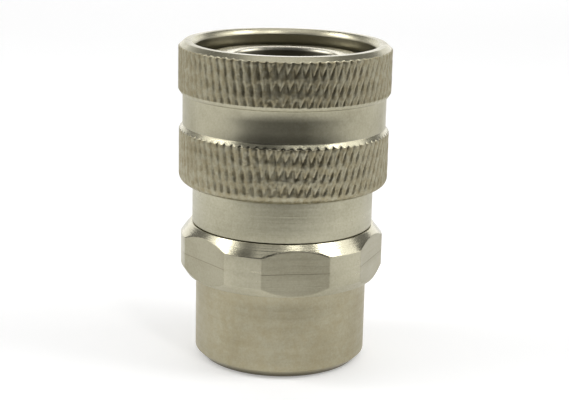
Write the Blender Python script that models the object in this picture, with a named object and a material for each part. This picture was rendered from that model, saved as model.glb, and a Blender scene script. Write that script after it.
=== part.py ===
"""Quick disconnect coupler, female half: a ball-lock socket with a pull-back sleeve and a shut-off valve.

Metres, +Z up. The origin is the centre of the threaded port's face, which the coupler stands on.
The axis of every turned piece is Z. Lengths below are in millimetres and are scaled once, by MM.
"""

import math

import bmesh
import bpy
from mathutils import Matrix

MM = 0.001

# ---------------------------------------------------------------- driving dimensions, in millimetres
SLEEVE_R = 17.5
LOWER_BAND_R = 17.36
NECK_R = 16.78
SLEEVE_TOP = 53.2
SLEEVE_BOTTOM = 29.8
MOUTH_R = 14.83

HEX_ACROSS_FLATS = 32.0
HEX_TURN = 30.0
HEX_TURNED_R = 16.92
HEX_LOW = 14.46
SKIRT_R = 14.35
SEAM = 23.05
BARREL_R = 15.05

PORT_MINOR_R = 9.3
PORT_DEPTH = 13.6
WEB_R = 8.0
WEB_TOP = 15.1
SOCKET_R = 12.3

NOSE_R = 12.7
NOSE_TOP = 50.9
BORE_R = 9.1
BARREL_TOP = 31.4
CHAMBER_R = 10.0
THROAT_R = 8.0

BALL_COUNT = 10
BALL_R = 2.25
BALL_CIRCLE_R = 10.45
BALL_Z = 44.8

RUNNING_GAP = 0.12
SEATING_GAP = 0.1

# ---------------------------------------------------------------- facets round each kind of piece
TURNED_STEPS = 48
SMALL_STEPS = 36
SEAL_SIDES = 8
WIRE_STEPS = 14

# ---------------------------------------------------------------- materials: colour, roughness, metallic
FINISHES = {
    "stainless": ((0.46, 0.44, 0.37), 0.38, 1.0),
    "spring_steel": ((0.55, 0.55, 0.54), 0.28, 1.0),
    "ball_steel": ((0.66, 0.66, 0.65), 0.12, 1.0),
    "nitrile": ((0.02, 0.02, 0.022), 0.55, 0.0),
    "ptfe": ((0.82, 0.81, 0.76), 0.45, 0.0),
}


def clear_scene():
    for obj in list(bpy.data.objects):
        bpy.data.objects.remove(obj)


def finish_of(name):
    """The material of that finish, made the first time it is asked for."""
    made = bpy.data.materials.get(name)
    if made:
        return made
    colour, roughness, metallic = FINISHES[name]
    made = bpy.data.materials.new(name)
    made.use_nodes = True
    shader = made.node_tree.nodes["Principled BSDF"]
    shader.inputs["Base Color"].default_value = (*colour, 1.0)
    shader.inputs["Roughness"].default_value = roughness
    shader.inputs["Metallic"].default_value = metallic
    return made


def object_from(mesh_data, name, finish=None):
    """A bmesh as an object in the scene, smooth except across its sharp edges."""
    bmesh.ops.recalc_face_normals(mesh_data, faces=mesh_data.faces)
    mesh = bpy.data.meshes.new(name)
    mesh_data.to_mesh(mesh)
    mesh_data.free()
    mesh.shade_smooth()
    mesh.set_sharp_from_angle(angle=math.radians(25))
    obj = bpy.data.objects.new(name, mesh)
    bpy.context.scene.collection.objects.link(obj)
    if finish:
        mesh.materials.append(finish_of(finish))
    return obj


def as_cutter(obj):
    obj.hide_render = True
    obj.display_type = "WIRE"
    return obj


def arc(centre_r, centre_z, radius, start, end, count):
    """Points of an arc in the (r, z) half plane, from one angle in degrees to another."""
    angles = [math.radians(start + (end - start) * i / count) for i in range(count + 1)]
    return [(centre_r + radius * math.cos(a), centre_z + radius * math.sin(a)) for a in angles]


def spun(outline, steps, angle=360.0, turned_by=0.0):
    """A closed (r, z) outline spun about Z into a bmesh: a whole ring, or a sector with flat ends."""
    made = bmesh.new()
    corners = [made.verts.new((r * MM, 0.0, z * MM)) for r, z in outline]
    face = made.faces.new(corners)
    whole = angle >= 360.0
    if whole:
        made.faces.remove(face)
    bmesh.ops.spin(
        made,
        geom=made.verts[:] + made.edges[:] + made.faces[:],
        cent=(0, 0, 0),
        axis=(0, 0, 1),
        angle=math.radians(angle),
        steps=steps,
        use_merge=whole,
    )
    bmesh.ops.rotate(made, verts=made.verts, matrix=Matrix.Rotation(math.radians(turned_by), 3, "Z"))
    return made


def ring(name, outline, finish, steps=TURNED_STEPS):
    """A hollow turned piece from its closed (r, z) outline."""
    return object_from(spun(outline, steps), name, finish)


def turned_solid(name, profile, finish, steps=SMALL_STEPS):
    """A turned piece whose profile runs from the axis at its bottom to the axis at its top."""
    made = bmesh.new()
    corners = [made.verts.new((r * MM, 0.0, z * MM)) for r, z in profile]
    for below, above in zip(corners, corners[1:]):
        made.edges.new((below, above))
    bmesh.ops.spin(
        made,
        geom=made.verts[:] + made.edges[:],
        cent=(0, 0, 0),
        axis=(0, 0, 1),
        angle=math.tau,
        steps=steps,
        use_merge=True,
    )
    bmesh.ops.remove_doubles(made, verts=made.verts, dist=1e-7)
    return object_from(made, name, finish)


def boolean(obj, cutter, operation):
    modifier = obj.modifiers.new(cutter.name, "BOOLEAN")
    modifier.operation = operation
    modifier.object = cutter
    return obj


def seal_ring(name, centre_r, centre_z, cord_r, finish="nitrile"):
    """An O-ring of a round cord."""
    outline = arc(centre_r, centre_z, cord_r, 22.5, 382.5, SEAL_SIDES)[:-1]
    return ring(name, outline, finish, SMALL_STEPS)


def compression_spring(name, mean_r, wire_r, low, high, turns):
    """A round-wire spring with a closed coil at each end, between two seats at low and high."""
    closed_pitch = 2 * wire_r + SEATING_GAP
    run = high - low - 2 * wire_r
    count = round(turns * WIRE_STEPS)
    open_pitch = (run - 2 * closed_pitch) / (turns - 2)
    curve = bpy.data.curves.new(name, "CURVE")
    curve.dimensions = "3D"
    curve.bevel_depth = wire_r * MM
    curve.bevel_resolution = 1
    curve.use_fill_caps = True
    spline = curve.splines.new("POLY")
    spline.points.add(count)
    for i, point in enumerate(spline.points):
        turn = turns * i / count
        rise = closed_pitch * min(turn, 1.0)
        rise += open_pitch * min(max(turn - 1.0, 0.0), turns - 2)
        rise += closed_pitch * max(turn - turns + 1.0, 0.0)
        a = math.tau * turn
        z = low + wire_r + rise
        point.co = (mean_r * math.cos(a) * MM, mean_r * math.sin(a) * MM, z * MM, 1.0)
    obj = bpy.data.objects.new(name, curve)
    bpy.context.scene.collection.objects.link(obj)
    curve.materials.append(finish_of("spring_steel"))
    return obj


# ---------------------------------------------------------------- the rear half: adapter, guide and valve
def threaded_adapter():
    """The hexagon with its skirt: the female port below, the socket for the body above."""
    port_entry_r = 10.7
    relief_r = 10.6
    relief_low = 11.8
    seal_seat_r = 13.6
    seal_seat_z = 21.35
    shoulder_r = 15.95
    corner_low, corner_high = 15.92, 21.08
    ledge_r = 15.28
    outline = [
        (port_entry_r, 0.0),
        (SKIRT_R - 1.31, 0.0),
        (SKIRT_R, 1.31),
        (SKIRT_R, HEX_LOW),
        (shoulder_r, HEX_LOW),
        (HEX_TURNED_R, corner_low),
        (HEX_TURNED_R, corner_high),
        (ledge_r, SEAM),
        (seal_seat_r, SEAM),
        (seal_seat_r, seal_seat_z),
        (SOCKET_R, seal_seat_z),
        (SOCKET_R, WEB_TOP),
        (WEB_R, WEB_TOP),
        (WEB_R, PORT_DEPTH),
        (relief_r, PORT_DEPTH),
        (relief_r, relief_low),
        (PORT_MINOR_R, relief_low - relief_r + PORT_MINOR_R),
        (PORT_MINOR_R, port_entry_r - PORT_MINOR_R),
    ]
    adapter = ring("threaded_adapter", outline, "stainless")
    return boolean(adapter, hexagon_prism(), "INTERSECT")


def hexagon_prism():
    """The spanner's hexagon, with one flat facing -Y, taller than the adapter at both ends."""
    height = 60.0
    corner_r = HEX_ACROSS_FLATS / 2 / math.cos(math.radians(30))
    made = bmesh.new()
    bmesh.ops.create_cone(
        made,
        cap_ends=True,
        segments=6,
        radius1=corner_r * MM,
        radius2=corner_r * MM,
        depth=height * MM,
        matrix=Matrix.Rotation(math.radians(HEX_TURN), 4, "Z"),
    )
    return as_cutter(object_from(made, "hexagon_prism_cutter"))


def valve_guide():
    """The disc with three flow windows that carries the valve's stem, clamped in the adapter's socket."""
    plate_r = 12.15
    plate_low = WEB_TOP + SEATING_GAP
    plate_high = 17.4
    hub_r = 4.3
    hub_low = 14.0
    hub_high = 21.5
    hub_bore_r = 2.65
    outline = [
        (hub_bore_r, hub_low),
        (hub_r, hub_low),
        (hub_r, plate_low),
        (plate_r, plate_low),
        (plate_r, plate_high),
        (hub_r, plate_high),
        (hub_r, hub_high),
        (hub_bore_r, hub_high),
    ]
    guide = ring("valve_guide", outline, "stainless", SMALL_STEPS)
    window_count = 3
    window_angle = 84.0
    window_in, window_out = 4.9, 9.6
    window = [(window_in, 14.6), (window_out, 14.6), (window_out, 18.0), (window_in, 18.0)]
    for i in range(window_count):
        start = i * 360.0 / window_count + (360.0 / window_count - window_angle) / 2 + 1.0
        made = spun(window, 8, angle=window_angle, turned_by=start)
        boolean(guide, as_cutter(object_from(made, f"guide_window_cutter_{i}")), "DIFFERENCE")
    return guide


def valve_poppet():
    """The shut-off valve's head, with the stem that slides in the guide."""
    stem_r = 2.5
    stem_low = 16.9
    head_low = 27.4
    head_r = 9.6
    shelf_z = 29.5
    neck_r = 7.45
    lip_r = 7.75
    nose_top = 33.8
    profile = [
        (0.0, stem_low),
        (stem_r - 0.4, stem_low),
        (stem_r, stem_low + 0.4),
        (stem_r, head_low),
        (head_r - 0.4, head_low),
        (head_r, head_low + 0.4),
        (head_r, shelf_z - 0.2),
        (head_r - 0.2, shelf_z),
        (neck_r, shelf_z),
        (neck_r, 31.1),
        (lip_r, 31.3),
        (lip_r, nose_top - 0.6),
        (lip_r - 0.6, nose_top),
        (3.2, nose_top),
        (2.6, nose_top - 0.5),
        (0.0, nose_top - 0.5),
    ]
    return turned_solid("valve_poppet", profile, "stainless")


# ---------------------------------------------------------------- the front half: body, balls and sleeve
def coupler_body():
    """The tube that holds the balls, the seals and the valve's seat, and that the sleeve slides on."""
    spigot_r = 12.2
    spigot_low = 17.6
    shoulder_z = SEAM + SEATING_GAP
    groove_r = 11.85
    groove_low, groove_high = 48.1, 49.4
    lead_in_r = 0.6
    gland_r = 11.3
    gland_low, gland_high = 35.0, 39.4
    throat_high = 33.0
    seat_high = 31.9
    outline = [
        (CHAMBER_R, spigot_low),
        (spigot_r - 0.5, spigot_low),
        (spigot_r, spigot_low + 0.5),
        (spigot_r, shoulder_z),
        (BARREL_R - 0.15, shoulder_z),
        (BARREL_R, shoulder_z + 0.15),
        (BARREL_R, BARREL_TOP - 0.4),
        (BARREL_R - 0.4, BARREL_TOP),
        (NOSE_R, BARREL_TOP),
        (NOSE_R, groove_low),
        (groove_r, groove_low),
        (groove_r, groove_high),
        (NOSE_R, groove_high),
        (NOSE_R, NOSE_TOP - 0.3),
        (NOSE_R - 0.3, NOSE_TOP),
    ]
    outline += arc(BORE_R + lead_in_r, NOSE_TOP - lead_in_r, lead_in_r, 90, 180, 4)
    outline += [
        (BORE_R, gland_high),
        (gland_r, gland_high),
        (gland_r, gland_low),
        (BORE_R, gland_low),
        (BORE_R, throat_high + BORE_R - THROAT_R),
        (THROAT_R, throat_high),
        (THROAT_R, seat_high),
        (CHAMBER_R, seat_high + THROAT_R - CHAMBER_R),
    ]
    body = ring("coupler_body", outline, "stainless")
    return boolean(body, ball_pocket_cutter(), "DIFFERENCE")


def ball_azimuth(index):
    """The direction of a ball from the axis, in radians from +X."""
    return math.tau * (index + 0.5) / BALL_COUNT


def ball_pocket_cutter():
    """One tapered plug for each ball pocket: narrower inside, so that the ball can't fall into the bore."""
    inner_end, wide_from, outer_end = 8.5, 10.4, 13.2
    wide_r = 2.5
    taper = 0.27
    narrow_r = wide_r - taper * (wide_from - inner_end)
    plugs = bmesh.new()
    for i in range(BALL_COUNT):
        plug = spun_plug([(narrow_r, inner_end), (wide_r, wide_from), (wide_r, outer_end)])
        bmesh.ops.rotate(plug, verts=plug.verts, matrix=Matrix.Rotation(math.pi / 2, 3, "Y"))
        bmesh.ops.rotate(plug, verts=plug.verts, matrix=Matrix.Rotation(ball_azimuth(i), 3, "Z"))
        bmesh.ops.translate(plug, verts=plug.verts, vec=(0, 0, BALL_Z * MM))
        mesh = bpy.data.meshes.new("plug")
        plug.to_mesh(mesh)
        plug.free()
        plugs.from_mesh(mesh)
        bpy.data.meshes.remove(mesh)
    return as_cutter(object_from(plugs, "ball_pocket_cutter"))


def spun_plug(side):
    """A solid of revolution about Z with flat ends, from its side's (r, z) points."""
    plug = bmesh.new()
    profile = [(0.0, side[0][1]), *side, (0.0, side[-1][1])]
    corners = [plug.verts.new((r * MM, 0.0, z * MM)) for r, z in profile]
    for below, above in zip(corners, corners[1:]):
        plug.edges.new((below, above))
    geom = plug.verts[:] + plug.edges[:]
    bmesh.ops.spin(plug, geom=geom, cent=(0, 0, 0), axis=(0, 0, 1), angle=math.tau, steps=14, use_merge=True)
    bmesh.ops.remove_doubles(plug, verts=plug.verts, dist=1e-7)
    return plug


def locking_balls():
    """The steel balls, each in its own pocket, all sharing one mesh."""
    made = bmesh.new()
    bmesh.ops.create_uvsphere(made, u_segments=12, v_segments=8, radius=BALL_R * MM)
    first = object_from(made, "locking_ball_01", "ball_steel")
    balls = [first]
    for i in range(1, BALL_COUNT):
        ball = bpy.data.objects.new(f"locking_ball_{i + 1:02d}", first.data)
        bpy.context.scene.collection.objects.link(ball)
        balls.append(ball)
    for i, ball in enumerate(balls):
        a = ball_azimuth(i)
        ball.location = (
            BALL_CIRCLE_R * math.cos(a) * MM,
            BALL_CIRCLE_R * math.sin(a) * MM,
            BALL_Z * MM,
        )
        ball.rotation_euler = (0.0, 0.0, a)
    return balls


def knurled_sleeve():
    """The pull-back sleeve: two grip bands outside, the balls' locking land and the spring's room inside."""
    bore_r = BARREL_R + RUNNING_GAP
    lower_band = (31.1, 38.75)
    neck = (39.6, 44.7)
    upper_band = (45.45, 52.35)
    rim_outer_r, rim_inner_r = 16.55, 15.42
    land_r = 12.95
    land_low, land_high = 41.2, 45.5
    recess_r = 13.95
    stop_z = 48.1
    outline = [
        (bore_r, SLEEVE_BOTTOM),
        (15.55, SLEEVE_BOTTOM),
        (16.1, 29.9),
        (16.7, 30.13),
        (17.13, 30.48),
        (LOWER_BAND_R, lower_band[0]),
        (LOWER_BAND_R, lower_band[1]),
        (NECK_R, neck[0]),
        (NECK_R, neck[1]),
        (17.12, neck[1] + 0.15),
        (SLEEVE_R, upper_band[0]),
        (SLEEVE_R, upper_band[1]),
        (rim_outer_r, SLEEVE_TOP),
        (rim_inner_r, SLEEVE_TOP),
        (MOUTH_R, SLEEVE_TOP - 0.9),
        (MOUTH_R, stop_z),
        (recess_r, stop_z),
        (recess_r, land_high + recess_r - land_r),
        (land_r, land_high),
        (land_r, land_low),
        (bore_r, land_low),
    ]
    return ring("knurled_sleeve", outline, "stainless")


def spring_washer():
    """The flat washer between the spring and the sleeve's land, on which the sleeve can turn."""
    inner_r, outer_r = 12.85, 14.95
    low, high = 40.4, 41.1
    outline = [(inner_r, low), (outer_r, low), (outer_r, high), (inner_r, high)]
    return ring("spring_washer", outline, "spring_steel")


def retaining_ring():
    """The open flat-wire ring in the nose's groove that stops the sleeve."""
    inner_r, outer_r = 12.0, 14.7
    low, high = 48.2, 49.3
    gap_angle = 16.0
    outline = [(inner_r, low), (outer_r, low), (outer_r, high), (inner_r, high)]
    made = spun(outline, 44, angle=360.0 - gap_angle, turned_by=90.0 + gap_angle / 2)
    return object_from(made, "retaining_ring", "spring_steel")


def backup_ring():
    """The square-section ring that keeps the plug's seal from being squeezed out."""
    inner_r, outer_r = 9.15, 11.2
    low, high = 37.95, 39.3
    outline = [(inner_r, low), (outer_r, low), (outer_r, high), (inner_r, high)]
    return ring("backup_ring", outline, "ptfe", SMALL_STEPS)


def main():
    clear_scene()
    threaded_adapter()
    valve_guide()
    valve_poppet()
    seal_ring("valve_seal_ring", centre_r=8.25, centre_z=30.35, cord_r=0.7)
    compression_spring("valve_spring", mean_r=6.6, wire_r=0.5, low=17.5, high=27.3, turns=4.5)
    coupler_body()
    seal_ring("body_seal_ring", centre_r=12.9, centre_z=22.25, cord_r=0.62)
    seal_ring("plug_seal_ring", centre_r=9.95, centre_z=36.45, cord_r=1.3)
    backup_ring()
    locking_balls()
    compression_spring("sleeve_spring", mean_r=13.9, wire_r=0.5, low=31.5, high=40.3, turns=4.0)
    spring_washer()
    retaining_ring()
    knurled_sleeve()


main()
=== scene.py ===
"""Looks of a stainless quick disconnect coupler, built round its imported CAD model.

Metres, +Z up, in the CAD model's frame: the axis is Z and the port's face is at Z = 0. Lengths named
below are in millimetres and are scaled by MM. Every turned surface is a grid of columns round the axis
and rows along a profile, and functions of angle and height press the knurl, the flats and the thread
into it.
"""

import math

import bmesh
import bpy
import numpy as np
from mathutils import Matrix, Vector


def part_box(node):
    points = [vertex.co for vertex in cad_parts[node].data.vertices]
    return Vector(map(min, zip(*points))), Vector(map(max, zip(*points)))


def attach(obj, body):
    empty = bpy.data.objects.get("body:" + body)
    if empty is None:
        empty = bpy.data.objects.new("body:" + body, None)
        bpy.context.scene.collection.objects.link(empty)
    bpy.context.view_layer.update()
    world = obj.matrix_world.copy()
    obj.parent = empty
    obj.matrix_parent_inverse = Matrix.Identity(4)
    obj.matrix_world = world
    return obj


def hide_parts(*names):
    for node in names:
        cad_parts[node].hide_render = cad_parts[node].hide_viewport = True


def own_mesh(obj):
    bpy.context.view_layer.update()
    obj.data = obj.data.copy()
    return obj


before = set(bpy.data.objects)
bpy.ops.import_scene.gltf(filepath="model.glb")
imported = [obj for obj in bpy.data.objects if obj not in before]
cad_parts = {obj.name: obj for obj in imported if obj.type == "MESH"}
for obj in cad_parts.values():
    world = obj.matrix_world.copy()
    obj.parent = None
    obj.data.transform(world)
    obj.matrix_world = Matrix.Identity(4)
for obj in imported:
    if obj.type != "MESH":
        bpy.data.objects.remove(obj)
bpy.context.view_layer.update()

MM = 0.001


# ---------------------------------------------------------------- places read from the frame, in mm
def span(node):
    """A node's lowest and highest Z, in millimetres."""
    low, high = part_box(node)
    return low.z / MM, high.z / MM


def radius(node):
    """A turned node's largest radius, in millimetres."""
    low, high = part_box(node)
    return max(high.x, high.y, -low.x, -low.y) / MM


SLEEVE_BOTTOM, SLEEVE_TOP = span("knurled_sleeve")
SLEEVE_R = radius("knurled_sleeve")
SEAM = span("threaded_adapter")[1]
BODY_LOW, NOSE_TOP = span("coupler_body")
BARREL_R = radius("coupler_body")
FLAT_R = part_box("threaded_adapter")[1].y / MM
HEX_TURNED_R = FLAT_R + 0.92  # the hexagon's corners are turned down to this radius
BALL_R = (span("locking_ball_01")[1] - span("locking_ball_01")[0]) / 2
BALL_COUNT = 10

# ---------------------------------------------------------------- surface detail, in millimetres
KNURL_TEETH = 80
KNURL_LEANS = (21.0, -8.0)  # degrees from the axis, for each family of grooves
KNURL_DEPTH = 0.3
KNURL_COLUMNS = 10 * KNURL_TEETH
HEX_COLUMNS = 576
FINE_COLUMNS = 288
THREAD_PITCH = 1.814
THREAD_DEPTH = 1.16


# ---------------------------------------------------------------- outlines
def rounded(outline, fillet=0.12, steps=3, sizes=None):
    """The closed (r, z) outline with an arc in each corner.

    sizes holds the fillets of the corners that need another one, by the corner's number. A corner that is
    almost straight stays as it is.
    """
    sizes = sizes or {}
    points = [np.array(p, float) for p in outline]
    made = []
    for i, here in enumerate(points):
        back = points[i - 1] - here
        on = points[(i + 1) % len(points)] - here
        back_length, on_length = np.linalg.norm(back), np.linalg.norm(on)
        back, on = back / back_length, on / on_length
        half = math.acos(float(np.clip(back @ on, -1, 1))) / 2
        if half > math.radians(85):
            made.append(here)
            continue
        wanted = sizes.get(i, fillet)
        reach = min(wanted / math.tan(half), 0.45 * back_length, 0.45 * on_length)
        arc_r = reach * math.tan(half)
        middle = (back + on) / np.linalg.norm(back + on)
        centre = here + middle * arc_r / math.sin(half)
        start, end = here + back * reach, here + on * reach
        for k in range(steps + 1):
            t = k / steps
            chord = start * (1 - t) + end * t - centre
            made.append(centre + chord / np.linalg.norm(chord) * arc_r)
    return made


def divided(outline, step):
    """The closed outline with no stretch longer than step(point)."""
    made = []
    for i, here in enumerate(outline):
        after = outline[(i + 1) % len(outline)]
        pieces = np.linalg.norm(after - here) / step((here + after) / 2)
        count = max(1, math.ceil(pieces - 1e-6))
        made += [here + (after - here) * k / count for k in range(count)]
    return made


# ---------------------------------------------------------------- meshes
def mesh_piece(name, points, faces, mark=None):
    """A smooth mesh object from points in millimetres.

    mark is a value per point, kept as a point attribute; the sleeve's grooves are darkened by it, with dirt
    and painted shade.
    """
    mesh = bpy.data.meshes.new(name)
    mesh.from_pydata((np.asarray(points) * MM).tolist(), [], faces)
    mesh.update()
    mesh.shade_smooth()
    if mark is not None:
        attribute = mesh.attributes.new("shape_mark", "FLOAT", "POINT")
        attribute.data.foreach_set("value", np.asarray(mark, np.float32))
    piece = bpy.data.objects.new(name, mesh)
    bpy.context.scene.collection.objects.link(piece)
    return piece


def outward(outline):
    """The outward direction at each point of an anticlockwise (r, z) outline."""
    along = np.roll(outline, -1, 0) - np.roll(outline, 1, 0)
    along /= np.linalg.norm(along, axis=1)[:, None]
    return along[:, 1], -along[:, 0]


def turned(name, outline, columns, shape=None):
    """A closed ring from its outline, which runs anticlockwise in the (r, z) half plane.

    shape takes arrays of radius, angle and height, and the outward directions in r and z. It gives the new
    radius and height and a mark for each point.
    """
    outline = np.array(outline)
    angles = np.arange(columns) * math.tau / columns
    lines = (outline[:, 0], outline[:, 1], *outward(outline))
    radii, heights, out_r, out_z = (np.repeat(line[:, None], columns, 1) for line in lines)
    turns = np.repeat(angles[None, :], len(outline), 0)
    mark = np.zeros_like(radii)
    if shape:
        radii, heights, mark = shape(radii, turns, heights, out_r, out_z)
    points = np.stack([radii * np.cos(turns), radii * np.sin(turns), heights], -1).reshape(-1, 3)
    row = np.arange(len(outline))[:, None] * columns
    next_row = np.roll(row, -1, 0)
    column = np.arange(columns)[None, :]
    next_column = np.roll(column, -1, 1)
    corners = (row + column, row + next_column, next_row + next_column, next_row + column)
    faces = np.stack(corners, -1).reshape(-1, 4).tolist()
    return mesh_piece(name, points, faces, mark.ravel())


def smooth_step(value, low, high):
    """0 below low, 1 above high and a smooth rise between them."""
    t = np.clip((value - low) / (high - low), 0, 1)
    return t * t * (3 - 2 * t)


def soft_min(a, b, width):
    """The smaller of two, with the corner where they cross rounded over that width."""
    mix = np.clip(0.5 + 0.5 * (b - a) / width, 0, 1)
    return b * (1 - mix) + a * mix - width * mix * (1 - mix)


# ---------------------------------------------------------------- sleeve
LOWER_BAND = (31.1, 38.75)
NECK = (39.6, 44.7)
UPPER_BAND = (45.45, 52.35)
LOWER_R = SLEEVE_R - 0.14
NECK_R = SLEEVE_R - 0.72
SLEEVE_WALL_R = SLEEVE_R - 2.2  # parts the sleeve's outside from its inside
TOP_NOTCH = 0.25  # the height below a band's top in which every groove keeps its full depth


def groove(phase, width, skew=0.0):
    """1 along the bottom of V-shaped grooves and 0 on the flat crests between them.

    A groove takes up the width's share of each turn of the phase, and the skew makes one wall steeper.
    """
    turned_phase = phase + skew * np.sin(phase)
    from_bottom = np.abs((turned_phase / math.tau + 0.5) % 1.0 - 0.5) * 2
    return np.clip(1 - from_bottom / width, 0, 1)


def knurl(radii, turns, heights, out_r, out_z):
    """Two crossing families of helical grooves, rolled into the grip bands and over the lower edge.

    They cross in rows, counted down from each band's top, and each groove is deepest between two crossings.
    One family is deeper on one side of the sleeve, and the other on the opposite side. The drift makes the
    teeth a little uneven.
    """
    leans = [KNURL_TEETH * math.tan(math.radians(angle)) / SLEEVE_R for angle in KNURL_LEANS]
    upper = heights > (NECK[0] + NECK[1]) / 2
    down = np.where(upper, UPPER_BAND[1], LOWER_BAND[1]) - heights
    drift = 0.22 * np.sin(3 * turns + 0.4) + 0.2 * np.sin(7 * turns + 0.4 * heights)
    drift += 0.16 * np.sin(23 * turns - heights)
    side = 0.5 + 0.5 * np.sin(turns + math.radians(75))
    uneven = 0.85 + 0.15 * np.sin(5 * turns + 0.9 * heights) * np.sin(11 * turns - 1.1)
    first_phase = KNURL_TEETH * turns + leans[0] * down + drift
    second_phase = KNURL_TEETH * turns + leans[1] * down - 0.7 * drift
    first = groove(first_phase, 0.48 + 0.2 * side, skew=0.55)
    second = groove(second_phase, 0.42 + 0.14 * side, skew=-0.4)
    below = ((first_phase - second_phase) / math.tau) % 1.0
    row = 0.45 + 0.55 * smooth_step(below, 0.05, 0.5) * (1 - smooth_step(below, 0.78, 1.0))
    row = np.where(down < TOP_NOTCH, 1.0, row)
    first_row = row + (1 - row) * 0.55 * smooth_step(side, 0.3, 0.9)
    first_share = 0.12 + 0.8 * smooth_step(side, 0.0, 0.4)
    second_share = 0.7 + 0.14 * smooth_step(side, 0.0, 0.2) - 0.5 * smooth_step(side, 0.3, 0.8)
    lines = np.maximum(first_share * first * first_row, second_share * second * row)
    depth = np.minimum(lines * uneven, 1.0)
    root = np.where(upper, SLEEVE_R, LOWER_R) - KNURL_DEPTH * depth
    outside = (radii > NECK_R + 0.02) & (heights > LOWER_BAND[0])
    new_radii = np.where(outside, np.minimum(radii, root), radii)
    edge = (radii > SLEEVE_WALL_R) & (heights <= LOWER_BAND[0])
    fade = smooth_step(heights, SLEEVE_BOTTOM + 0.02, SLEEVE_BOTTOM + 0.7)
    sunk = np.where(edge, KNURL_DEPTH * depth * fade, 0.0)
    mark = np.where(outside, np.clip((radii - new_radii) / KNURL_DEPTH, 0, 1), sunk / KNURL_DEPTH)
    return new_radii - sunk * out_r, heights - sunk * out_z, mark


def knurled_sleeve():
    """The sleeve: bore, rounded lower edge, two bands with the neck between them, rim, mouth and recess."""
    bore_r = BARREL_R + 0.12
    mouth_r = SLEEVE_R - 2.67
    stop_z = 48.1
    recess_r, recess_low = 13.95, 46.5
    land_r, land_low, land_high = 12.95, 41.2, 45.5
    rim_outer_r, rim_inner_r = SLEEVE_R - 0.95, SLEEVE_R - 2.08
    outline = [
        (bore_r, SLEEVE_BOTTOM),
        (15.55, SLEEVE_BOTTOM),
        (16.1, SLEEVE_BOTTOM + 0.1),
        (16.7, SLEEVE_BOTTOM + 0.33),
        (17.13, SLEEVE_BOTTOM + 0.68),
        (LOWER_R, LOWER_BAND[0]),
        (LOWER_R, LOWER_BAND[1]),
        (NECK_R, NECK[0]),
        (NECK_R, NECK[1]),
        (NECK_R + 0.34, NECK[1] + 0.15),
        (SLEEVE_R, UPPER_BAND[0]),
        (SLEEVE_R, UPPER_BAND[1]),
        (rim_outer_r, SLEEVE_TOP),
        (rim_inner_r, SLEEVE_TOP),
        (mouth_r, SLEEVE_TOP - 0.9),
        (mouth_r, stop_z),
        (recess_r, stop_z),
        (recess_r, recess_low),
        (land_r, land_high),
        (land_r, land_low),
        (bore_r, land_low),
    ]
    fillets = {0: 0.03, 1: 0.06, 2: 1.4, 3: 1.6, 4: 1.6, 5: 1.6}
    fillets.update({6: 0.04, 11: 0.04, 12: 0.14, 13: 0.2, 14: 0.2})
    line = rounded(outline, fillet=0.1, steps=2, sizes=fillets)

    def step(point):
        """Coarse where nothing is pressed in, and finest at the notches in each band's top."""
        r, z = point
        if r < SLEEVE_WALL_R:
            return 2.5
        if NECK[0] < z < NECK[1]:
            return 2.0
        if z > UPPER_BAND[1] + 0.6:
            return 1.0
        at_notches = min(abs(z - top) for top in (LOWER_BAND[1], UPPER_BAND[1])) < 0.45
        return 0.2 if at_notches else 0.36

    return turned("sleeve_surface", divided(line, step), KNURL_COLUMNS, knurl)


# ---------------------------------------------------------------- adapter
SKIRT_R = 14.35
HEX_LOW = 14.46
CORNER_LOW, CORNER_HIGH = 15.92, 21.08
PORT_R = 9.3
RELIEF_LOW = 11.8
THREAD_LOW = 1.3


def flats_and_thread(radii, turns, heights, *_outward):
    """The hexagon's flats outside and the right-handed pipe thread inside."""
    sixth = math.tau / 6
    from_flat = (turns + math.pi / 2 + sixth / 2) % sixth - sixth / 2
    flat = FLAT_R / np.cos(from_flat)
    on_hex = (radii > FLAT_R - 0.3) & (heights > HEX_LOW - 0.1)
    shaped = np.where(on_hex, soft_min(radii, flat, 0.07), radii)
    mark = np.where(on_hex & (flat < radii + 0.02), 1.0, 0.0)
    in_port = (radii < PORT_R + 0.05) & (heights > THREAD_LOW - 0.1) & (heights < RELIEF_LOW)
    turn = (heights / THREAD_PITCH - turns / math.tau) % 1.0
    tooth = 1 - np.abs(2 * turn - 1)
    cut_in = THREAD_DEPTH * smooth_step(tooth, 0.12, 0.9)
    run_in = smooth_step(heights, THREAD_LOW, THREAD_LOW + 0.6)
    run_out = 1 - smooth_step(heights, RELIEF_LOW - 1.7, RELIEF_LOW - 1.4)
    shaped = shaped + np.where(in_port, cut_in * run_in * run_out, 0.0)
    return shaped, heights, mark


def threaded_adapter():
    """The adapter: skirt, hexagon, the socket that holds the body and the valve's guide, and the port."""
    foot_chamfer = 1.31
    socket_r, socket_low = 12.3, 15.1
    collar_r, collar_low = 13.6, 21.35
    floor_r, floor_z = 8.0, 13.6
    relief_r = 10.6
    outline = [
        (10.7, 0.0),
        (SKIRT_R - foot_chamfer, 0.0),
        (SKIRT_R, foot_chamfer),
        (SKIRT_R, HEX_LOW),
        (15.95, HEX_LOW),
        (HEX_TURNED_R, CORNER_LOW),
        (HEX_TURNED_R, CORNER_HIGH),
        (15.28, SEAM),
        (collar_r, SEAM),
        (collar_r, collar_low),
        (socket_r, collar_low),
        (socket_r, socket_low),
        (floor_r, socket_low),
        (floor_r, floor_z),
        (relief_r, floor_z),
        (relief_r, RELIEF_LOW),
        (PORT_R, RELIEF_LOW - 1.3),
        (PORT_R, 1.4),
    ]
    line = rounded(outline, fillet=0.1, steps=2, sizes={7: 0.05})

    def step(point):
        """Finest where the flats cut the chamfers, fine in the thread and coarse elsewhere."""
        r, z = point
        on_hex = r > SKIRT_R + 0.3 and z > HEX_LOW
        in_port = r < PORT_R + 0.05 and z < RELIEF_LOW
        return 0.14 if on_hex else 0.22 if in_port else 2.0

    return turned("adapter_surface", divided(line, step), HEX_COLUMNS, flats_and_thread)


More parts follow.
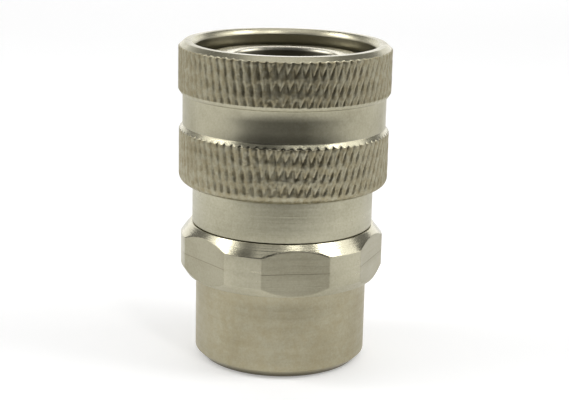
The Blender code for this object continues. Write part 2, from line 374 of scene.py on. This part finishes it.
# ---------------------------------------------------------------- body, balls and small inner pieces
def coupler_body():
    """The body's tube, with its ball pockets cut through."""
    nose_r = 12.7
    bore_r = 9.1
    spigot_r, spigot_chamfer = 12.2, 0.5
    shoulder, shoulder_chamfer = SEAM + 0.1, 0.04
    barrel_top, barrel_chamfer = 31.4, 0.4
    clip_r, clip_low, clip_high = 11.85, 48.1, 49.4
    seal_r, seal_low, seal_high = 11.3, 35.0, 39.4
    chamber_r, seat_r = 10.0, 8.0
    outline = [
        (chamber_r, BODY_LOW),
        (spigot_r - spigot_chamfer, BODY_LOW),
        (spigot_r, BODY_LOW + spigot_chamfer),
        (spigot_r, shoulder),
        (BARREL_R - shoulder_chamfer, shoulder),
        (BARREL_R, shoulder + shoulder_chamfer),
        (BARREL_R, barrel_top - barrel_chamfer),
        (BARREL_R - barrel_chamfer, barrel_top),
        (nose_r, barrel_top),
        (nose_r, clip_low),
        (clip_r, clip_low),
        (clip_r, clip_high),
        (nose_r, clip_high),
        (nose_r, NOSE_TOP),
        (bore_r, NOSE_TOP),
        (bore_r, seal_high),
        (seal_r, seal_high),
        (seal_r, seal_low),
        (bore_r, seal_low),
        (bore_r, 34.1),
        (seat_r, 33.0),
        (seat_r, 31.9),
        (chamber_r, 29.9),
    ]
    line = rounded(outline, fillet=0.12, steps=2, sizes={13: 0.3, 14: 0.6})
    piece = turned("body_surface", divided(line, lambda point: 2.0), FINE_COLUMNS)
    plugs = pocket_plugs()
    cut = piece.modifiers.new("pockets", "BOOLEAN")
    cut.object = plugs
    applied(piece)
    bpy.data.objects.remove(plugs)
    piece.data.shade_smooth()
    piece.data.set_sharp_from_angle(angle=math.radians(38))
    return piece


def applied(piece):
    """The piece with its modifiers turned into its mesh."""
    depsgraph = bpy.context.evaluated_depsgraph_get()
    shaped = bpy.data.meshes.new_from_object(piece.evaluated_get(depsgraph))
    piece.modifiers.clear()
    piece.data = shaped
    return piece


def ball_place(index):
    """A ball's centre, in millimetres."""
    low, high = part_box(f"locking_ball_{index + 1:02d}")
    return (low + high) / 2 / MM


def pocket_plugs():
    """The cutter for the ball pockets: a tapered plug for each ball, all in one mesh."""
    sides = 28
    narrow_r, wide_r = 1.99, 2.5
    stations = ((8.5, narrow_r), (10.4, wide_r), (13.2, wide_r))
    points, faces = [], []
    for i in range(BALL_COUNT):
        centre = ball_place(i)
        out = Vector((centre.x, centre.y, 0)).normalized()
        across = Vector((-out.y, out.x, 0))
        base = len(points)
        for reach, plug_r in stations:
            for k in range(sides):
                a = math.tau * (k + 0.5) / sides
                at = out * reach + across * plug_r * math.cos(a) + Vector((0, 0, plug_r * math.sin(a)))
                points.append(at + Vector((0, 0, centre.z)))
        for ring in range(len(stations) - 1):
            for k in range(sides):
                a, b = base + ring * sides + k, base + ring * sides + (k + 1) % sides
                faces.append((a, b, b + sides, a + sides))
        faces.append([base + k for k in reversed(range(sides))])
        last = base + (len(stations) - 1) * sides
        faces.append([last + k for k in range(sides)])
    return mesh_piece("pocket_plugs", points, faces)


def ball_surface(index):
    """A polished ball: a grid of rings round its axis, closed by a fan at each pole."""
    columns, rings = 40, 24
    centre = ball_place(index)
    points = [centre + Vector((0, 0, -BALL_R))]
    for j in range(1, rings):
        a = math.pi * j / rings - math.pi / 2
        for k in range(columns):
            b = math.tau * k / columns
            out = Vector((math.cos(a) * math.cos(b), math.cos(a) * math.sin(b), math.sin(a)))
            points.append(centre + out * BALL_R)
    points.append(centre + Vector((0, 0, BALL_R)))
    faces = []
    for k in range(columns):
        after = (k + 1) % columns
        faces.append((0, 1 + after, 1 + k))
        last = 1 + (rings - 2) * columns
        faces.append((last + k, last + after, len(points) - 1))
        for j in range(rings - 2):
            low, high = 1 + j * columns, 1 + (j + 1) * columns
            faces.append((low + k, low + after, high + after, high + k))
    return mesh_piece(f"ball_surface_{index + 1:02d}", points, faces)


def cord_ring(name, node):
    """An O-ring in the place of its node, with the faint parting line of its mould round the outside.

    The node's cord has eight sides, and this one goes through their corners.
    """
    low, high = span(node)
    to_flat = math.cos(math.radians(22.5))
    cord_r = (high - low) / 2 / to_flat
    centre_r, centre_z = radius(node) - cord_r * to_flat, (low + high) / 2
    line_height, line_width = 0.03, 0.12
    outline = []
    count = 28
    for k in range(count):
        a = math.tau * k / count
        r = cord_r + line_height * math.exp(-((math.sin(a) / line_width) ** 2))
        outline.append((centre_r + r * math.cos(a), centre_z + r * math.sin(a)))
    return turned(name, outline, 144)


def swept(name, sections):
    """A tube through sections with as many points each, closed at both ends."""
    around = len(sections[0])
    last = (len(sections) - 1) * around
    faces = []
    for base in range(0, last, around):
        for k in range(around):
            a, b = base + k, base + (k + 1) % around
            faces.append((a, a + around, b + around, b))
    faces.append(list(range(around)))
    faces.append([last + k for k in reversed(range(around))])
    return mesh_piece(name, [point for section in sections for point in section], faces)


def coil(name, node, mean_r, wire_r, turns):
    """A round-wire spring in the place of its node, with closed end coils that are ground flat."""
    low, high = span(node)
    around, along = 12, 48
    ground, end_gap = 0.1, 0.1
    closed = 2 * wire_r + end_gap
    run = high - low - 2 * wire_r
    pitch = (run - 2 * closed) / (turns - 2)
    sections = []
    count = round(turns * along)
    for i in range(count + 1):
        turn = turns * i / count
        rise = closed * min(turn, 1) + pitch * min(max(turn - 1, 0), turns - 2)
        rise += closed * max(turn - turns + 1, 0)
        a = math.tau * turn
        section = []
        for k in range(around):
            b = math.tau * k / around
            r = mean_r + wire_r * math.cos(b)
            z = low + wire_r + rise + wire_r * math.sin(b)
            section.append((r * math.cos(a), r * math.sin(a), min(max(z, low + ground), high - ground)))
        sections.append(section)
    return swept(name, sections)


def flat_section(inner_r, outer_r, low, high):
    """The outline of a flat ring, with broken edges."""
    return rounded([(inner_r, low), (outer_r, low), (outer_r, high), (inner_r, high)], fillet=0.15)


def flat_ring(name, node, inner_r):
    """A flat ring in the place of its node."""
    return turned(name, flat_section(inner_r, radius(node), *span(node)), 144)


def snap_ring():
    """The retaining ring: open at the back, with blunt ends."""
    inner_r, outer_r = 12.0, 14.7
    section = flat_section(inner_r, outer_r, *span("retaining_ring"))
    gap = 16
    start, sweep = math.radians(90 + gap / 2), math.tau - math.radians(gap)
    steps = 140
    sections = []
    for i in range(steps + 1):
        a = start + sweep * i / steps
        sections.append([(r * math.cos(a), r * math.sin(a), z) for r, z in section])
    return swept("retaining_ring_surface", sections)


POPPET_HOLE_R = 0.3


def valve_poppet():
    """The valve's head and stem, closed on the axis at both ends."""
    low, high = span("valve_poppet")
    stem_r, head_r, neck_r, lip_r = 2.5, 9.6, 7.45, 7.75
    head_low, head_high, lip_low = 27.4, 29.5, 31.1
    dimple_r, dimple_floor = 3.2, high - 0.5
    profile = [
        (POPPET_HOLE_R, low),
        (stem_r - 0.35, low),
        (stem_r, low + 0.35),
        (stem_r, head_low),
        (head_r - 0.3, head_low),
        (head_r, head_low + 0.3),
        (head_r, head_high),
        (neck_r, head_high),
        (neck_r, lip_low),
        (lip_r, lip_low + 0.2),
        (lip_r, high - 0.6),
        (lip_r - 0.6, high),
        (dimple_r, high),
        (dimple_r - 0.6, dimple_floor),
        (POPPET_HOLE_R, dimple_floor),
    ]
    line = rounded(profile, steps=2)
    return closed_on_axis(turned("poppet_surface", line, 144))


def closed_on_axis(piece):
    """The poppet without its narrow middle hole, and with a cap at each end in its place."""
    made = bmesh.new()
    made.from_mesh(piece.data)
    inner = {v for v in made.verts if Vector((v.co.x, v.co.y)).length < (POPPET_HOLE_R + 0.1) * MM}
    cut = [f for f in made.faces if all(v in inner for v in f.verts)]
    bmesh.ops.delete(made, geom=cut, context="FACES_ONLY")
    bmesh.ops.holes_fill(made, edges=[e for e in made.edges if e.is_boundary], sides=0)
    bmesh.ops.recalc_face_normals(made, faces=made.faces)
    made.to_mesh(piece.data)
    made.free()
    piece.data.shade_smooth()
    return piece


# ---------------------------------------------------------------- material nodes
class Shader:
    """A material's node tree, with short calls for the nodes used here."""

    def __init__(self, name):
        self.material = bpy.data.materials.new(name)
        self.material.use_nodes = True
        self.tree = self.material.node_tree
        self.bsdf = self.tree.nodes["Principled BSDF"]

    def node(self, kind, **values):
        made = self.tree.nodes.new(kind)
        for key, value in values.items():
            setattr(made, key, value)
        return made

    def link(self, a, b):
        self.tree.links.new(a, b)

    def put(self, socket, value):
        """A node's output linked to the socket, or a plain value set on it."""
        if isinstance(value, bpy.types.NodeSocket):
            self.link(value, socket)
        else:
            socket.default_value = value

    def maths(self, operation, a, b=0.0, clamp=False):
        made = self.node("ShaderNodeMath", operation=operation, use_clamp=clamp)
        for socket, value in zip(made.inputs, (a, b)):
            self.put(socket, value)
        return made.outputs[0]

    def plus(self, a, b, clamp=False):
        return self.maths("ADD", a, b, clamp=clamp)

    def minus(self, a, b):
        return self.maths("SUBTRACT", a, b)

    def times(self, a, b):
        return self.maths("MULTIPLY", a, b)

    def place(self):
        return self.node("ShaderNodeTexCoord").outputs["Object"]

    def height(self):
        split = self.node("ShaderNodeSeparateXYZ")
        self.link(self.place(), split.inputs[0])
        return split.outputs["Z"]

    def scaled(self, scale):
        """Object coordinates times a scale for each axis."""
        made = self.node("ShaderNodeVectorMath", operation="MULTIPLY")
        self.link(self.place(), made.inputs[0])
        made.inputs[1].default_value = scale
        return made.outputs[0]

    def noise(self, vector, scale, detail=3.0, rough=0.55):
        """Noise around 0.5, with a grain of about 1 / scale metres."""
        made = self.node("ShaderNodeTexNoise")
        self.link(vector, made.inputs["Vector"])
        made.inputs["Scale"].default_value = scale
        made.inputs["Detail"].default_value = detail
        made.inputs["Roughness"].default_value = rough
        return made.outputs["Fac"]

    def ramp(self, value, low, high, to_low=0.0, to_high=1.0):
        """to_low where the value is at low, to_high where it is at high, and a smooth change between them."""
        made = self.node("ShaderNodeMapRange", interpolation_type="SMOOTHSTEP")
        self.put(made.inputs["Value"], value)
        limits = {"From Min": low, "From Max": high, "To Min": to_low, "To Max": to_high}
        for name, limit in limits.items():
            made.inputs[name].default_value = limit
        return made.outputs[0]

    def mix(self, factor, a, b):
        """Colour a at a factor of 0 and colour b at 1."""
        made = self.node("ShaderNodeMix", data_type="RGBA")
        self.put(made.inputs["Factor"], factor)
        self.put(made.inputs["A"], a)
        self.put(made.inputs["B"], b)
        return made.outputs["Result"]

    def bump(self, height, distance, strength=1.0, before=None):
        """A normal bent by the height, on top of the normal before. distance is in metres."""
        made = self.node("ShaderNodeBump")
        made.inputs["Distance"].default_value = distance
        made.inputs["Strength"].default_value = strength
        self.link(height, made.inputs["Height"])
        if before is not None:
            self.link(before, made.inputs["Normal"])
        return made.outputs["Normal"]


def main_pieces():
    """Every piece with the body it rides on and the node it replaces."""
    adopt(knurled_sleeve(), "sleeve", "knurled_sleeve", knurled_steel())
    adopt(threaded_adapter(), "housing", "threaded_adapter", adapter_steel())
    adopt(coupler_body(), "housing", "coupler_body", body_steel())
    polished = ball_steel()
    for i in range(BALL_COUNT):
        node = f"locking_ball_{i + 1:02d}"
        adopt(ball_surface(i), f"ball_{i + 1:02d}", node, polished)
    rubber = seal_rubber()
    seal_bodies = {"plug_seal_ring": "housing", "body_seal_ring": "housing", "valve_seal_ring": "poppet"}
    for node, body in seal_bodies.items():
        adopt(cord_ring(f"{node}_surface", node), body, node, rubber)
    wire = spring_steel()
    sleeve_spring = adopt(
        coil("sleeve_spring_surface", "sleeve_spring", mean_r=13.9, wire_r=0.5, turns=4.0),
        "housing", "sleeve_spring", wire,
    )
    valve_spring = adopt(
        coil("valve_spring_surface", "valve_spring", mean_r=6.6, wire_r=0.5, turns=4.5),
        "housing", "valve_spring", wire,
    )
    shorten(sleeve_spring)
    shorten(valve_spring)
    washer = flat_ring("washer_surface", "spring_washer", inner_r=12.85)
    adopt(washer, "washer", "spring_washer", wire)
    backup = flat_ring("backup_surface", "backup_ring", inner_r=9.15)
    adopt(backup, "housing", "backup_ring", seal_plastic())
    adopt(snap_ring(), "housing", "retaining_ring", wire)
    adopt(valve_poppet(), "poppet", "valve_poppet", turned_steel("poppet_steel"))
    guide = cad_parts["valve_guide"]
    guide.data.materials.clear()
    guide.data.materials.append(turned_steel("guide_steel"))


def adopt(piece, body, node, material):
    """The piece in its material, on its body and in its node's place."""
    piece.data.materials.clear()
    piece.data.materials.append(material)
    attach(piece, body)
    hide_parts(node)
    return piece


def shorten(spring):
    """The spring gets a mesh of its own."""
    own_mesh(spring)


# ---------------------------------------------------------------- materials
# Colours are linear. Every stained or dirty place, and every place of painted shade or painted highlight, is
# a mask from 0 to 1, times its share, and it mixes the metal's colour towards another or moves its roughness.
def from_axis(shader):
    """The distance from the axis, in metres."""
    split = shader.node("ShaderNodeSeparateXYZ")
    shader.link(shader.place(), split.inputs[0])
    x2 = shader.times(split.outputs["X"], split.outputs["X"])
    y2 = shader.times(split.outputs["Y"], split.outputs["Y"])
    return shader.maths("SQRT", shader.plus(x2, y2))


def rings(shader):
    """Coordinates that are the same all round the axis: distance from it, and height."""
    made = shader.node("ShaderNodeCombineXYZ")
    shader.link(from_axis(shader), made.inputs["X"])
    shader.link(shader.height(), made.inputs["Z"])
    return made.outputs[0]


def steel(name, colour, dark, rough=(0.28, 0.4), lines=0.5, grime=0.3):
    """Machined stainless: tool rings, soft blotches of oxide, fine specks and an even grain.

    lines is the strength of the tool rings and grime that of the blotches. It gives the shader with its
    colour, roughness and normal.
    """
    shader = Shader(name)
    ring = rings(shader)
    fine = shader.noise(ring, 5200, detail=4)
    broad = shader.noise(ring, 900, detail=2)
    blotch = shader.noise(shader.place(), 75, detail=5, rough=0.6)
    speck = shader.noise(shader.place(), 1500, detail=2)
    even = shader.noise(shader.place(), 2700, detail=3, rough=0.7)
    tone = shader.times(shader.ramp(blotch, 0.38, 0.7), grime)
    tone = shader.plus(tone, shader.times(shader.ramp(fine, 0.4, 0.75), 0.18 * lines))
    tone = shader.plus(tone, shader.times(shader.ramp(speck, 0.66, 0.76), 0.15), clamp=True)
    tone = shader.plus(tone, shader.ramp(even, 0.3, 0.7, -0.16, 0.2), clamp=True)
    toned = shader.mix(tone, (*colour, 1), (*dark, 1))
    roughness = shader.ramp(blotch, 0.3, 0.75, *rough)
    roughness = shader.plus(roughness, shader.ramp(broad, 0.3, 0.7, -0.08 * lines, 0.1 * lines))
    normal = shader.bump(fine, 0.00003, strength=lines)
    normal = shader.bump(broad, 0.00006, strength=0.35 * lines, before=normal)
    return shader, toned, roughness, normal


def finished(shader, colour, roughness, normal=None, metallic=1.0, brushed=0.0):
    """The material, with its parts on the shader's sockets.

    brushed stretches its gloss across the tool rings.
    """
    shader.bsdf.inputs["Metallic"].default_value = metallic
    shader.put(shader.bsdf.inputs["Base Color"], colour)
    shader.put(shader.bsdf.inputs["Roughness"], roughness)
    if normal is not None:
        shader.put(shader.bsdf.inputs["Normal"], normal)
    if brushed:
        shader.bsdf.inputs["Anisotropic"].default_value = brushed
        tangent = shader.node("ShaderNodeTangent", direction_type="RADIAL", axis="Z")
        shader.link(tangent.outputs[0], shader.bsdf.inputs["Tangent"])
    return shader.material


def turned_steel(name):
    """Plain turned steel, for the pieces inside."""
    return finished(*steel(name, (0.45, 0.425, 0.315), (0.27, 0.25, 0.165), lines=0.6), brushed=0.6)


def body_steel():
    """The body: plain turned steel, with a polished nose ring lightened by a painted highlight, and painted
    shade inside its bore.
    """
    shader, colour, roughness, normal = steel(
        "body_steel", (0.45, 0.428, 0.32), (0.27, 0.25, 0.165), lines=0.6
    )
    bore_painted_shade, nose_painted_highlight = (0.07, 0.066, 0.052, 1), (0.8, 0.76, 0.62, 1)
    face_low, face_high = (NOSE_TOP - 0.6) * MM, (NOSE_TOP - 0.3) * MM
    bore = shader.ramp(shader.height(), face_high, face_low)
    bore = shader.times(bore, shader.ramp(from_axis(shader), 9.4 * MM, 9.3 * MM))
    nose = shader.ramp(shader.height(), face_low, face_high)
    # painted shade: inside the bore, below the nose's face, the colour is darkened almost to black
    colour = shader.mix(shader.times(bore, 0.85), colour, bore_painted_shade)
    # painted highlight: the nose ring's face gets a lighter colour; the lower roughness below is its polish
    colour = shader.mix(nose, colour, nose_painted_highlight)
    roughness = shader.minus(roughness, shader.times(nose, 0.1))
    return finished(shader, colour, roughness, normal, brushed=0.6)


def shape_mark_input(shader):
    """The mark that a piece's shape function gave each point."""
    made = shader.node("ShaderNodeAttribute", attribute_name="shape_mark", attribute_type="GEOMETRY")
    return made.outputs["Fac"]


def between(shader, low, high, edge=0.05):
    """1 at heights from low to high, in millimetres, and 0 above and below."""
    height = shader.height()
    above = shader.ramp(height, (low - edge) * MM, (low + edge) * MM)
    below = shader.ramp(height, (high + edge) * MM, (high - edge) * MM)
    return shader.times(above, below)


def knurled_steel():
    """The sleeve: dull rolled grips, polished chamfers, a plain neck, painted shade inside the mouth, and
    knurl grooves darkened by dirt and painted shade.
    """
    shader, colour, roughness, normal = steel(
        "knurled_steel", (0.45, 0.425, 0.315), (0.29, 0.268, 0.18), lines=0.06, grime=0.35
    )
    mouth_painted_shade, patina_brown = (0.13, 0.118, 0.082, 1), (0.3, 0.255, 0.15, 1)
    neck_stain, groove_dirt_and_shade = (0.26, 0.24, 0.165, 1), (0.085, 0.07, 0.04, 1)

    # where: the knurled bands, the chamfer above the lower one, the neck, the rim and the mouth's inside
    lower = between(shader, SLEEVE_BOTTOM, LOWER_BAND[1] + 0.1)
    upper = between(shader, UPPER_BAND[0], UPPER_BAND[1] + 0.15)
    outer = shader.ramp(from_axis(shader), (NECK_R - 0.9) * MM, (NECK_R - 0.7) * MM)
    rolled = shader.times(shader.maths("MAXIMUM", lower, upper), outer)
    polished = between(shader, LOWER_BAND[1], NECK[0])
    neck = between(shader, NECK[0] + 0.3, NECK[1] - 0.2, edge=0.3)
    rim = between(shader, UPPER_BAND[1] + 0.2, SLEEVE_TOP + 1)
    inner = shader.ramp(from_axis(shader), (SLEEVE_R - 2.4) * MM, (SLEEVE_R - 2.7) * MM)

    patina = shader.noise(shader.place(), 900, detail=5, rough=0.75)
    patina = shader.ramp(patina, 0.35, 0.65, 0.1, 0.8)
    cloud = shader.noise(shader.place(), 210, detail=5, rough=0.65)
    cloud = shader.ramp(cloud, 0.5, 0.68, 0.0, 0.4)
    deep = shader.ramp(shape_mark_input(shader), 0.34, 0.85)
    # painted shade: the mouth's inside, a recess, is darkened towards a near-black colour
    colour = shader.mix(shader.times(inner, 0.55), colour, mouth_painted_shade)
    colour = shader.mix(shader.times(rolled, patina), colour, patina_brown)
    colour = shader.mix(shader.times(neck, cloud), colour, neck_stain)
    # dirt and painted shade: the deepest parts of the knurl grooves are darkened
    colour = shader.mix(shader.times(deep, 0.75), colour, groove_dirt_and_shade)

    roughness = shader.plus(roughness, shader.times(rolled, 0.12))
    roughness = shader.minus(roughness, shader.times(polished, 0.12))
    roughness = shader.minus(roughness, shader.times(rim, 0.07))
    grain = shader.noise(shader.place(), 1100, detail=4, rough=0.65)
    grain = shader.times(shader.minus(grain, 0.5), rolled)
    normal = shader.bump(grain, 0.00014, strength=0.9, before=normal)
    return finished(shader, colour, roughness, normal, brushed=0.7)


def adapter_steel():
    """The adapter: milled flats with a tool mark, a polished chamfer, a faintly brown skirt and painted shade
    on its foot chamfer.
    """
    shader, colour, roughness, normal = steel("adapter_steel", (0.455, 0.43, 0.322), (0.29, 0.268, 0.18))
    skirt_brown, foot_painted_shade = (0.33, 0.27, 0.145, 1), (0.1, 0.088, 0.056, 1)
    milled_dark = (0.22, 0.2, 0.135, 1)
    tool_line_z = 18.4

    # where: the milled flats, the round skirt, its foot and the chamfer above the flats
    flat = shape_mark_input(shader)
    height = shader.height()
    skirt = shader.ramp(height, (HEX_LOW + 0.05) * MM, (HEX_LOW - 0.05) * MM)
    foot = shader.ramp(height, 1.35 * MM, 0.3 * MM)
    polished = shader.times(between(shader, CORNER_HIGH, SEAM + 1), shader.minus(1.0, flat))

    stain = shader.ramp(shader.noise(shader.place(), 420, detail=8, rough=0.8), 0.3, 0.72)
    brown = shader.times(shader.times(skirt, shader.plus(stain, 0.3)), 0.42)
    colour = shader.mix(brown, colour, skirt_brown)
    # painted shade: the foot chamfer, facing down just above the floor, is darkened
    colour = shader.mix(shader.times(foot, 0.65), colour, foot_painted_shade)
    roughness = shader.plus(roughness, shader.times(skirt, 0.12))
    roughness = shader.plus(roughness, shader.times(flat, 0.1))
    roughness = shader.minus(roughness, shader.times(polished, 0.14))

    mill = shader.noise(shader.scaled((30, 30, 2600)), 1.0, detail=3)
    from_line = shader.maths("ABSOLUTE", shader.minus(height, tool_line_z * MM))
    tool_line = shader.times(shader.ramp(from_line, 0.08 * MM, 0.02 * MM), flat)
    milled = shader.times(shader.minus(mill, tool_line), flat)
    dull = shader.plus(shader.times(flat, 0.25), shader.times(tool_line, 0.6))
    colour = shader.mix(dull, colour, milled_dark)
    normal = shader.bump(milled, 0.00006, strength=0.45, before=normal)
    return finished(shader, colour, roughness, normal)


def spring_steel():
    """Drawn wire and stamped rings."""
    return finished(
        *steel("wire_steel", (0.62, 0.62, 0.6), (0.38, 0.37, 0.34), rough=(0.2, 0.32), lines=0.2, grime=0.25)
    )


def ball_steel():
    """Polished balls with faint scuffs."""
    shader = Shader("ball_bearing_steel")
    scuff = shader.noise(shader.place(), 900, detail=4)
    colour = shader.mix(scuff, (0.72, 0.72, 0.71, 1), (0.6, 0.6, 0.58, 1))
    return finished(shader, colour, shader.ramp(scuff, 0.3, 0.8, 0.08, 0.2))


def seal_rubber():
    """Black rubber with a fine moulded grain and a dull bloom."""
    shader = Shader("seal_rubber")
    grain = shader.noise(shader.place(), 4200, detail=3)
    bloom = shader.noise(shader.place(), 240, detail=3)
    colour = shader.mix(bloom, (0.016, 0.016, 0.018, 1), (0.045, 0.045, 0.046, 1))
    roughness = shader.ramp(bloom, 0.3, 0.7, 0.42, 0.62)
    return finished(shader, colour, roughness, shader.bump(grain, 0.00002, strength=0.5), metallic=0.0)


def seal_plastic():
    """Off-white plastic with faint turning rings."""
    shader = Shader("seal_plastic")
    fine = shader.noise(rings(shader), 4200, detail=3)
    tint = shader.noise(shader.place(), 260, detail=3)
    colour = shader.mix(tint, (0.82, 0.81, 0.76, 1), (0.68, 0.66, 0.6, 1))
    roughness = shader.ramp(tint, 0.3, 0.7, 0.38, 0.5)
    return finished(shader, colour, roughness, shader.bump(fine, 0.00002, strength=0.5), metallic=0.0)


# ---------------------------------------------------------------- stage, lights and camera
AIM = Vector((0.461, 0.0, 26.457)) * MM
CAMERA_TURN = math.radians(-8.7)
CAMERA_RISE = math.radians(14.52)
CAMERA_ROLL = math.radians(1.32)
CAMERA_DISTANCE = 242.8 * MM
CAMERA_LENS = 91.4
LAMP_TARGET = Vector((0, 0, 26)) * MM


def bearing(turn, rise):
    """A direction from the object: degrees anticlockwise from the camera, seen from above, and degrees up."""
    a = math.radians(turn) + CAMERA_TURN - math.pi / 2
    e = math.radians(rise)
    return Vector((math.cos(e) * math.cos(a), math.cos(e) * math.sin(a), math.sin(e)))


def make_camera():
    """The camera that fits the photograph: its lens, distance, rise and roll, and a turn round the object."""
    data = bpy.data.cameras.new("camera")
    data.lens = CAMERA_LENS
    data.sensor_width = 36.0
    data.clip_start = 0.01
    camera = bpy.data.objects.new("camera", data)
    bpy.context.scene.collection.objects.link(camera)
    back = bearing(0, math.degrees(CAMERA_RISE))
    right = Vector((0, 0, 1)).cross(back).normalized()
    up = back.cross(right)
    right, up = (
        right * math.cos(CAMERA_ROLL) + up * math.sin(CAMERA_ROLL),
        up * math.cos(CAMERA_ROLL) - right * math.sin(CAMERA_ROLL),
    )
    aim = Matrix.Rotation(CAMERA_TURN, 3, "Z") @ AIM
    turn = Matrix((right, up, back)).transposed()
    camera.matrix_world = Matrix.Translation(aim + back * CAMERA_DISTANCE) @ turn.to_4x4()
    bpy.context.scene.camera = camera


def softbox(name, turn, rise, distance, width, height, radiance):
    """A rectangular lamp that faces the object, as bright at any size. Lengths are in metres."""
    data = bpy.data.lights.new(name, "AREA")
    data.shape = "RECTANGLE"
    data.size, data.size_y = width, height
    data.energy = radiance * math.pi * width * height
    lamp = bpy.data.objects.new(name, data)
    bpy.context.scene.collection.objects.link(lamp)
    out = bearing(turn, rise)
    lamp.location = LAMP_TARGET + out * distance
    lamp.rotation_euler = out.to_track_quat("Z", "Y").to_euler()


def make_stage():
    """The white floor, a little below the port's face, and the black card."""
    side, drop = 3.0 / MM, 0.05
    points = [(-side, -side, -drop), (side, -side, -drop), (side, side, -drop), (-side, side, -drop)]
    floor = mesh_piece("floor", points, [(0, 1, 2, 3)])
    shader = Shader("floor_white")
    shader.bsdf.inputs["Roughness"].default_value = 0.7
    shader.bsdf.inputs["Base Color"].default_value = (0.86, 0.86, 0.86, 1)
    shader.bsdf.inputs["Emission Color"].default_value = (1.0, 1.0, 1.0, 1)
    shader.bsdf.inputs["Emission Strength"].default_value = 0.28
    floor.data.materials.append(shader.material)
    make_flag()


def make_flag():
    """A black card between the camera and the object, which only reflections show."""
    distance, half_width, foot, top = 125.0, 205.0, 0.2, 215.0
    out = bearing(3, 0)
    across = Vector((-out.y, out.x, 0))
    corners = ((-1, foot), (1, foot), (1, top), (-1, top))
    points = [out * distance + across * side * half_width + Vector((0, 0, z)) for side, z in corners]
    card = mesh_piece("flag", points, [(0, 1, 2, 3)])
    shader = Shader("flag_black")
    shader.bsdf.inputs["Base Color"].default_value = (0.02, 0.02, 0.02, 1)
    shader.bsdf.inputs["Roughness"].default_value = 0.9
    card.data.materials.append(shader.material)
    card.visible_camera = False
    card.visible_diffuse = False
    card.visible_shadow = False


def make_light():
    """An even world, soft boxes at both sides, behind and above, and three small lamps for highlights."""
    world = bpy.data.worlds.new("studio")
    world.use_nodes = True
    background = world.node_tree.nodes["Background"]
    background.inputs["Color"].default_value = (1.0, 1.0, 1.0, 1)
    background.inputs["Strength"].default_value = 0.22
    bpy.context.scene.world = world
    softbox("left_box", turn=-86, rise=24, distance=0.5, width=0.34, height=0.4, radiance=1.8)
    softbox("right_box", turn=86, rise=26, distance=0.5, width=0.34, height=0.4, radiance=1.8)
    softbox("left_lamp", turn=-90, rise=47, distance=0.5, width=0.1, height=0.12, radiance=10.0)
    softbox("right_lamp", turn=76, rise=52, distance=0.5, width=0.15, height=0.12, radiance=7.5)
    softbox("front_lamp", turn=24, rise=54, distance=0.5, width=0.05, height=0.18, radiance=8.5)
    softbox("back_box", turn=180, rise=16, distance=0.9, width=1.6, height=0.55, radiance=1.4)
    softbox("top_box", turn=0, rise=84, distance=0.6, width=0.5, height=0.5, radiance=0.8)


make_camera()
make_stage()
make_light()
main_pieces()
bpy.context.scene.view_settings.view_transform = "Standard"
